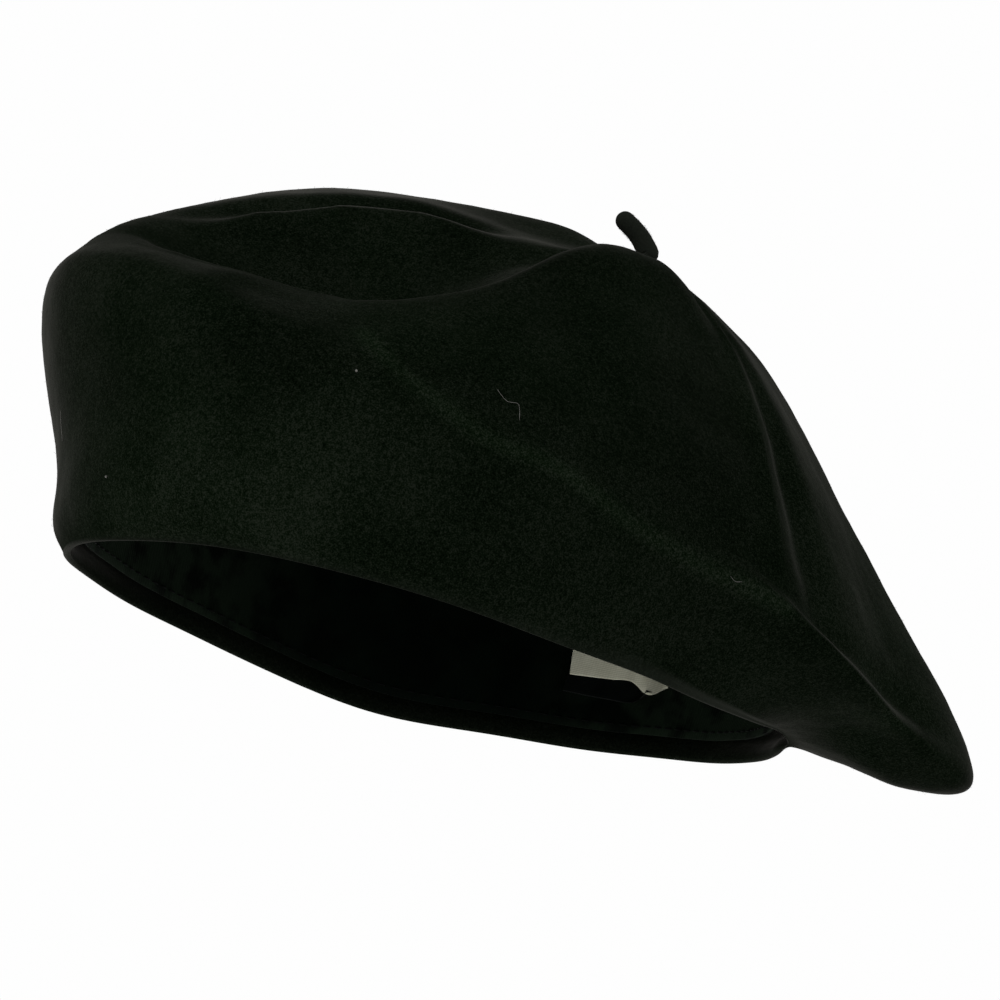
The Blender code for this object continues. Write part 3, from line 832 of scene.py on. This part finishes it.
def fibre_mesh(name, roots, normals, lengths, radii, rng, mat, lie=0.6):
    """Short tapered closed fibres that stand off a surface and curl over."""
    count = len(roots)
    random = rng.normal(size=(count, 3))
    across = np.cross(normals, random)
    across /= np.linalg.norm(across, axis=1, keepdims=True)
    over = np.cross(across, normals)
    stand = rng.uniform(0.25, 1.0, count)
    points = np.zeros((count, 10, 3))

    def centre(t):
        rise = lengths * t * (stand * (1 - 0.35 * t))
        slide = lengths * lie * t ** 1.4
        curl = lengths * 0.25 * np.sin(2.4 * t)
        return (roots + normals * (rise - 0.15)[:, None] + over * slide[:, None]
                + across * curl[:, None])

    for ring, t in enumerate(FIBRE_RINGS):
        middle = centre(t)
        for k in range(3):
            angle = 2 * math.pi * k / 3
            out = across * math.cos(angle) + normals * math.sin(angle)
            points[:, ring * 3 + k] = middle + out * (radii * (1 - 0.55 * t))[:, None]
    points[:, 9] = centre(1.0)
    one = [(2, 1, 0)]
    one += [(r * 3 + k, r * 3 + (k + 1) % 3, r * 3 + 3 + (k + 1) % 3, r * 3 + 3 + k)
            for r in (0, 1) for k in range(3)]
    one += [(6 + k, 6 + (k + 1) % 3, 9) for k in range(3)]
    faces = [tuple(10 * i + v for v in f) for i in range(count) for f in one]
    return mesh_object(name, points.reshape(-1, 3), faces, mat)


def make_felt_fuzz(mat):
    """Fine nap over the whole outer face."""
    rng = np.random.default_rng(11)
    roots, normals = scattered_roots(rng, FUZZ_COUNT, 0.05, 8.97)
    lengths = rng.uniform(*FUZZ_LENGTH, len(roots)) * rng.uniform(0.6, 1.0, len(roots))
    radii = rng.uniform(*FUZZ_RADIUS, len(roots))
    return fibre_mesh("felt_fuzz", roots, normals, lengths, radii, rng, mat)


# bearing and place of each speck, and of the points that each stray fibre passes over
LINT_SPECKS = ((239.0, 3.85), (211.8, 1.64))
STRAY_FIBRES = (((253.2, 4.67), (254.8, 4.56), (256.2, 4.61), (257.0, 4.33)),
                ((291.2, 3.90), (292.2, 3.86), (293.2, 3.93)),
                ((195.5, 2.66), (196.0, 2.48), (196.8, 2.30)))
SPECK_RADIUS = 0.33
STRAY_RADIUS = 0.045


def surface_line(marks, count):
    """Smooth line through places on the felt, resting on its outer face."""
    marks = np.array([marks[0], *marks, marks[-1]], float)
    bearing, place = through_points(marks, np.linspace(0, len(marks) - 3, count)).T
    out = surface_normals(skin_points_plain, bearing, place)
    return skin_points(bearing, place) + out * STRAY_RADIUS * 1.5


def make_lint(mat):
    """A few specks of dust and stray pale fibres caught on the nap."""
    tubes = []
    for bearing, place in LINT_SPECKS:
        path = surface_line(((bearing, place), (bearing + 0.25, place + 0.004)), 7)
        tubes.append((path, rounded(7, SPECK_RADIUS)))
    for marks in STRAY_FIBRES:
        tubes.append((surface_line(marks, 30), rounded(30, STRAY_RADIUS)))
    return join_tubes("lint", tubes, 8, mat)


# ---- sweatband and stitches

PALER_ENDS_BEARING = 27.0  # the ribbon is paler towards both ends of this line, from +X
PALER_ENDS_REACH = (22.0, 60.0)
RIB_PITCH = 1.0
RIBBON_ROWS = 15
RIBBON = 0.55  # ribbon's thickness between its ribs
RIB_HEIGHT = 0.12
SELVEDGE = 0.06  # thickening along both edges
SAG_LOST = 0.6  # share of the rim's sag that the ribbon's top doesn't follow
PUCKER_RADIUS = 92.0  # of the ring that the gathers are counted round
PUCKER_UPRIGHT = 0.55  # how much quicker they change around than up
PUCKER_SLANT = 0.06
PUCKER_BROAD = (13.0, 0.9)  # wavelength and depth of the gathers
PUCKER_FINE = (5.0, 0.35)
PUCKER_GAIN = (0.35, 0.75)  # their strength at the sewn edge, and what the free top adds
PUCKER_IN = 0.55  # clearance that they leave
SEWN_AT = 1.8  # height of the seam over the ribbon's lower edge


def band_point(bearing, height, out):
    """Point inside the opening, at a height over the rim's edge."""
    radius = opening_radius(bearing, BAND_LEAN * (height - BAND_BOTTOM) - out)
    angle = np.radians(bearing + FLOP_BEARING)
    sag = rim_drop(bearing, np.zeros_like(bearing))
    sag = sag * (1 - SAG_LOST * (height - BAND_BOTTOM) / BAND_HEIGHT)
    return np.stack([STEM_AXIS[0] + radius * np.cos(angle),
                     STEM_AXIS[1] + radius * np.sin(angle),
                     rim_height(bearing) + height + sag], -1)


def pucker(bearing, height):
    """How far the gathered ribbon stands in from its drawn line, more towards its free top."""
    angle = np.radians(bearing)
    share = (height - BAND_BOTTOM) / BAND_HEIGHT
    turned = angle + PUCKER_SLANT * share
    where = np.stack([np.cos(turned) * PUCKER_RADIUS, np.sin(turned) * PUCKER_RADIUS,
                      np.full_like(angle, height * PUCKER_UPRIGHT)], -1)
    folds = sum(depth * noise_at(where, length, 4 + k)
                for k, (length, depth) in enumerate((PUCKER_BROAD, PUCKER_FINE)))
    sewn, more = PUCKER_GAIN
    return (sewn + more * share) * folds + PUCKER_IN


def make_ribbon(mat):
    """Gathered ribbed ribbon with a rib every millimetre, closed round both faces."""
    ribs = int(round(math.pi * (HEAD_LENGTH + HEAD_WIDTH) / 2 / RIB_PITCH))
    columns = ribs * 4
    bearing = np.arange(columns) * 360.0 / columns
    rib = 0.5 + 0.5 * np.cos(2 * math.pi * ribs * bearing / 360.0)
    rows = []
    for side in (1, -1):
        for k in (range(RIBBON_ROWS) if side > 0 else reversed(range(RIBBON_ROWS))):
            share = k / (RIBBON_ROWS - 1)
            height = BAND_BOTTOM + BAND_HEIGHT * share
            inward = pucker(bearing, height) + 0.15
            selvedge = SELVEDGE * (bump_at(share, 0.03, 0.03) + bump_at(share, 0.97, 0.03))
            relief = (rib * RIB_HEIGHT + selvedge) * (1 if side > 0 else -1)
            out = GAP + inward + (RIBBON if side > 0 else 0) + relief
            rows.append(band_point(bearing, height, out))
    faces = grid_faces(len(rows), columns, True, True)
    points = np.concatenate(rows)
    obj = mesh_object("sweatband_ribbon", points, faces, mat)
    turn = math.radians(PALER_ENDS_BEARING)
    across = np.abs(points[:, 0] * math.cos(turn) + points[:, 1] * math.sin(turn))
    store(obj, "paler_at_ends", smooth_step(across, *PALER_ENDS_REACH))
    return obj


def stitch_path(start, end, inward, rise):
    """Short arched path between two holes."""
    t = np.linspace(0, 1, 7)[:, None]
    bow = np.sin(np.pi * t)
    return start * (1 - t) + end * t + inward * rise * bow


STITCH_PITCH = 3.6
STITCH_LENGTH = 2.7
STITCH_RADIUS = 0.2


def make_band_stitches(mat):
    """Row of separate stitches that hold the ribbon's lower edge."""
    around = math.pi * (HEAD_LENGTH + HEAD_WIDTH) / 2
    count = int(around / STITCH_PITCH)
    height = BAND_BOTTOM + SEWN_AT
    tubes = []
    for k in range(count):
        middle = 360.0 * k / count
        half = 180.0 * STITCH_LENGTH / around
        ends = np.array([middle - half, middle + half])
        out = GAP + RIBBON + pucker(ends, height) + 0.15
        start, end = band_point(ends, height, out + STITCH_RADIUS * 0.6)
        centre = np.array([0.0, 0.0, start[2]])
        inward = centre - (start + end) / 2
        inward /= np.linalg.norm(inward)
        path = stitch_path(start, end, inward, 0.3)
        tubes.append((path, rounded(len(path), STITCH_RADIUS, 2)))
    return join_tubes("band_stitches", tubes, 6, mat)


# ---- labels


def label_grid(width, length, columns, rows):
    """Grid over a hanging label: x from its middle, drop from its top edge."""
    x = np.linspace(-width / 2, width / 2, columns)
    drop = np.linspace(0, length, rows)
    return np.meshgrid(x, drop)


def curl_in(x, drop, forward, start, radius, slope):
    """Rolls a corner of the label towards the opening past a slanted line."""
    way = np.array([math.cos(slope), math.sin(slope)])
    past = np.maximum((x * way[0] + drop * way[1]) - start, 0)
    turn = past / radius
    back = past - radius * np.sin(turn)
    return (x - way[0] * back, drop - way[1] * back,
            forward + radius * (1 - np.cos(turn)))


def label_mesh(name, x, drop, forward, hinge, thickness, mat):
    """Thin closed sheet from its grid, hanging from the hinge along the leaning ribbon."""
    def world(f):
        return np.stack([hinge[0] + x, hinge[1] - f - BAND_LEAN * drop, hinge[2] - drop], -1)
    front, back = world(forward + thickness), world(forward)
    rows, columns = x.shape
    points = np.concatenate([front.reshape(-1, 3), back.reshape(-1, 3)])
    total = rows * columns
    faces = [tuple(reversed(f)) for f in grid_faces(rows, columns, False, False)]
    faces += [tuple(total + i for i in f) for f in grid_faces(rows, columns, False, False)]
    rim = [c for c in range(columns)]
    rim += [r * columns + columns - 1 for r in range(1, rows)]
    rim += [(rows - 1) * columns + c for c in reversed(range(columns - 1))]
    rim += [r * columns for r in reversed(range(1, rows - 1))]
    for a, b in zip(rim, rim[1:] + rim[:1]):
        faces.append((a, b, total + b, total + a))
    return mesh_object(name, points, faces, mat)


def make_white_label(hinge, mat):
    """Blank care label with soft upright buckles and a rolled right edge."""
    x, drop = label_grid(LABEL_WIDTH, CARE_LABEL_LENGTH, 100, 56)
    low = smooth_step(drop, 1.0, CARE_LABEL_LENGTH)
    ripple = 0.55 * np.sin(x * 0.9 + 0.4) * smooth_step(x, -7, 6) + 0.25 * np.sin(x * 0.35)
    forward = 1.2 + low * (0.6 + ripple)
    droop = smooth_step(x, 2.5, 9.0) * (1 - 0.8 * smooth_step(x, 9.0, 12.5))
    droop = droop * smooth_step(drop, 4.0, CARE_LABEL_LENGTH)
    drop, forward = drop + LABEL_DROOP * droop, forward + 1.6 * droop
    corner = np.abs(2 * x / LABEL_WIDTH) ** 3 * (1 - smooth_step(drop, 0.0, 5.0))
    drop = drop + LABEL_ROUND * corner
    hung = smooth_step(drop, 0.0, CARE_LABEL_LENGTH * 0.6)
    x, drop = x + drop * LABEL_LEAN + LABEL_ASIDE, drop - x * LABEL_TILT * hung
    return label_mesh("white_label", x, drop, forward, hinge, 0.2, mat)


def make_black_label(hinge, mat):
    """Blank woven label under the white one, longer, with a lifted right corner."""
    x, drop = label_grid(LABEL_WIDTH, WOVEN_LABEL_LENGTH, 80, 60)
    low = smooth_step(drop, 2.0, WOVEN_LABEL_LENGTH)
    forward = 0.1 + low * (0.35 + 0.3 * np.sin(x * 0.4 + 1.0))
    x, drop, forward = curl_in(x, drop, forward, 17.0, 2.4, 1.0)
    return label_mesh("black_label", x, drop, forward, hinge, 0.25, mat)


def make_label_stitches(hinge, mat):
    """Small stitches across the labels' top edge."""
    tubes = []
    count = 11
    for k in range(count):
        x = hinge[0] + (LABEL_WIDTH - 3) * (k / (count - 1) - 0.5)
        start = np.array([x - 0.8, hinge[1] - 1.55, hinge[2] - 1.2])
        path = stitch_path(start, start + (1.6, 0, 0), np.array([0, -1.0, 0]), 0.25)
        tubes.append((path, rounded(len(path), STITCH_RADIUS, 2)))
    return join_tubes("label_stitches", tubes, 6, mat)


# ---- stem


STEM_WEAR = 0.55  # how pale the stem's cut felt is
STEM_TIP = 0.92  # its tip's radius against its foot's
STEM_BARE = 4.0  # row of its spine from which nap stands on it


def stem_spine():
    """Centre line of the stem, from its rounded foot to its tip."""
    foot = np.array([*STEM_AXIS, CROWN_TOP + GAP + STEM_RADIUS])
    lean = math.radians(FLOP_BEARING - 3.0)
    aside = np.array([math.cos(lean), math.sin(lean), 0.0])
    knots = np.array([STEM_PATH[0], *STEM_PATH, STEM_PATH[-1]])
    knots[0] = 2 * knots[1] - knots[2]
    knots[-1] = 2 * knots[-2] - knots[-3]
    places = np.linspace(0, len(STEM_PATH) - 1, 26)
    flat = through_points(knots, places)
    return foot + np.outer(flat[:, 0], aside) + np.outer(flat[:, 1], (0, 0, 1.0))


def make_stem(mat):
    """Felt tail with a rounded foot and tip and a slightly lumpy skin."""
    spine = stem_spine()
    start, end = spine[1] - spine[0], spine[-1] - spine[-2]
    start, end = np.array([0, 0, 1.0]), end / np.linalg.norm(end)
    sweep = np.linspace(math.pi / 2 * 0.94, 0.12, 9)
    foot = [spine[0] - start * STEM_RADIUS * math.sin(a) for a in sweep]
    tip = [spine[-1] + end * STEM_RADIUS * STEM_TIP * math.sin(a) for a in sweep[::-1]]
    path = np.array([*foot, *spine, *tip])
    radii = [STEM_RADIUS * math.cos(a) for a in sweep]
    radii += [STEM_RADIUS * (1 - (1 - STEM_TIP) * k / len(spine)) for k in range(len(spine))]
    radii += [STEM_RADIUS * STEM_TIP * math.cos(a) for a in sweep[::-1]]
    sides = 40
    points = tube_points(path, radii, sides)
    centre = np.repeat(path, sides, axis=0)
    out = points - centre
    lumps = 0.10 * noise_at(points, 1.9, 8) + 0.05 * noise_at(points, 0.8, 9)
    lumps *= smooth_step(points[:, 2], CROWN_TOP + 3.0, CROWN_TOP + 5.0)
    points = points + out / np.linalg.norm(out, axis=1, keepdims=True) * lumps[:, None]
    obj = mesh_object("stem_tail", points, tube_faces(len(path), sides, False), mat)
    store(obj, "cut_edge_and_highlight", np.full(len(points), STEM_WEAR))
    return obj


def make_stem_fuzz(mat):
    """Nap on the stem."""
    rng = np.random.default_rng(23)
    spine = stem_spine()
    count = 1100
    place = rng.uniform(STEM_BARE, len(spine) - 1.01, count)
    low = place.astype(int)
    part = (place - low)[:, None]
    centre = spine[low] * (1 - part) + spine[low + 1] * part
    way = spine[low + 1] - spine[low]
    way /= np.linalg.norm(way, axis=1, keepdims=True)
    out = np.cross(way, rng.normal(size=(count, 3)))
    out /= np.linalg.norm(out, axis=1, keepdims=True)
    lengths = rng.uniform(0.3, 0.9, count)
    radii = rng.uniform(*FUZZ_RADIUS, count)
    return fibre_mesh("stem_fuzz", centre + out * STEM_RADIUS * 0.97, out, lengths, radii, rng, mat)


def make_stem_knot(mat):
    """Two strands of thread twisted down through the eyelet, and their knot inside the crown."""
    x, y = STEM_AXIS
    tubes = []
    for phase in (0.0, 2.1, 4.2):
        t = np.linspace(0, 1, 60)
        angle = phase + t * 9.0
        z = CROWN_TOP - 0.3 - t * (KNOT_DROP - 1.2)
        path = np.stack([x + 0.42 * np.cos(angle), y + 0.42 * np.sin(angle), z], -1)
        tubes.append((path, rounded(len(path), 0.34)))
    for tilt, size in ((0.3, 1.5), (-0.5, 1.7), (1.1, 1.4)):
        t = np.linspace(0.1, 2 * math.pi - 0.1, 50)
        loop = np.stack([size * np.cos(t), size * np.sin(t) * math.cos(tilt),
                         size * 0.5 * np.sin(t) * math.sin(tilt) + 0.4 * np.sin(2 * t)], -1)
        tubes.append((loop + (x, y, CROWN_TOP - KNOT_DROP + 0.6 * tilt), rounded(50, 0.42)))
    for way in (0.7, 2.9):
        t = np.linspace(0, 1, 24)
        path = np.stack([x + 3.0 * t * math.cos(way), y + 3.0 * t * math.sin(way),
                         CROWN_TOP - KNOT_DROP - 0.8 - 3.4 * t ** 1.6], -1)
        tubes.append((path, rounded(24, 0.3)))
    return join_tubes("stem_thread", tubes, 8, mat)


# ---- stage, light and camera

FLOOR_Z = -480.0
VIEW_AZIMUTH = 27.0
VIEW_ELEVATION = -9.5
VIEW_ROLL = 15.7
VIEW_DISTANCE = 2500.0
VIEW_WIDTH = 225.7  # what the picture spans at the origin's distance
VIEW_OFFSET = (16.9, 35.4)  # picture's centre from the origin, along the picture's sides


def view_axes():
    """Camera's right, up and back directions."""
    a, e, r = (math.radians(v) for v in (VIEW_AZIMUTH, VIEW_ELEVATION, VIEW_ROLL))
    back = Vector((math.sin(a) * math.cos(e), -math.cos(a) * math.cos(e), math.sin(e)))
    across = Vector((math.cos(a), math.sin(a), 0))
    rise = back.cross(across)
    return (across * math.cos(r) + rise * math.sin(r),
            rise * math.cos(r) - across * math.sin(r), back)


def make_camera():
    right, up, back = view_axes()
    data = bpy.data.cameras.new("camera")
    data.sensor_width = 36.0
    data.lens = data.sensor_width * VIEW_DISTANCE / VIEW_WIDTH
    data.clip_start, data.clip_end = 0.05, 50.0
    camera = bpy.data.objects.new("camera", data)
    eye = (right * VIEW_OFFSET[0] + up * VIEW_OFFSET[1] + back * VIEW_DISTANCE) * MM
    turn = Matrix((right, up, back)).transposed()
    camera.matrix_world = Matrix.Translation(eye) @ turn.to_4x4()
    bpy.context.scene.collection.objects.link(camera)
    bpy.context.scene.camera = camera


def area_light(name, direction, distance, size, power, colour):
    """Soft square lamp aimed at the middle of the beret."""
    data = bpy.data.lights.new(name, "AREA")
    data.size = size
    data.energy = power
    data.color = colour
    lamp = bpy.data.objects.new(name, data)
    way = Vector(direction).normalized()
    lamp.location = way * distance + Vector((0, 0, 0.05))
    lamp.rotation_euler = way.to_track_quat("Z", "Y").to_euler()
    bpy.context.scene.collection.objects.link(lamp)


def make_stage():
    world = bpy.data.worlds.new("studio")
    bpy.context.scene.world = world
    world.use_nodes = True
    world.node_tree.nodes["Background"].inputs["Color"].default_value = (1.0, 1.0, 1.0, 1.0)
    world.node_tree.nodes["Background"].inputs["Strength"].default_value = 0.99
    area_light("key", (-1.9, -1.1, 0.25), 2.6, 1.6, 12.0, (1.0, 0.98, 0.96))
    area_light("rim", (1.2, 1.6, 1.0), 2.8, 1.4, 4.0, (1.0, 1.0, 1.0))
    turn = np.linspace(0, 2 * math.pi, 96, endpoint=False)
    points = np.stack([6000 * np.cos(turn), 6000 * np.sin(turn), np.full(96, FLOOR_Z)], -1)
    floor = mesh_object("floor", points, [tuple(range(96))], floor_material(), smooth=False)
    bpy.context.scene.view_settings.view_transform = "Standard"


# ---- assembly


def label_hinge():
    """Top edge of the labels, from the CAD's lower label."""
    low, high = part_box("woven_label")
    return ((low[0] + high[0]) / 2 / MM, high[1] / MM, high[2] / MM)


def main():
    make_camera()
    make_stage()
    felt, loose, thread = felt_material(), fibre_material(), thread_material()

    skin = make_felt_skin(felt)
    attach(skin, "hat")
    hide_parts("felt_body")
    fuzz = make_felt_fuzz(loose)
    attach(fuzz, "hat")

    lint = make_lint(lint_material())
    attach(lint, "hat")

    ribbon = make_ribbon(ribbon_material())
    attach(ribbon, "hat")
    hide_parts("sweatband")
    stitches = make_band_stitches(thread)
    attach(stitches, "hat")
    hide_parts("band_stitching")

    stem = make_stem(felt)
    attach(stem, "stem")
    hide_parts("stem")
    nap = make_stem_fuzz(loose)
    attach(nap, "stem")
    knot = make_stem_knot(thread)
    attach(knot, "hat")
    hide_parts("stem_tie")

    hinge = label_hinge()
    white = make_white_label(hinge, satin_material("off_white_satin", (0.42, 0.42, 0.31),
                                                   (0.66, 0.66, 0.54), 0.5, 0.4))
    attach(white, "labels")
    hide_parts("care_label")
    black = make_black_label(hinge, satin_material("black_satin", (0.0008, 0.0014, 0.0012),
                                                   (0.0028, 0.0040, 0.0034), 0.45, 0.06))
    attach(black, "labels")
    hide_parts("woven_label")
    seam = make_label_stitches(hinge, thread)
    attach(seam, "labels")
    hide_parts("label_stitching")


main()
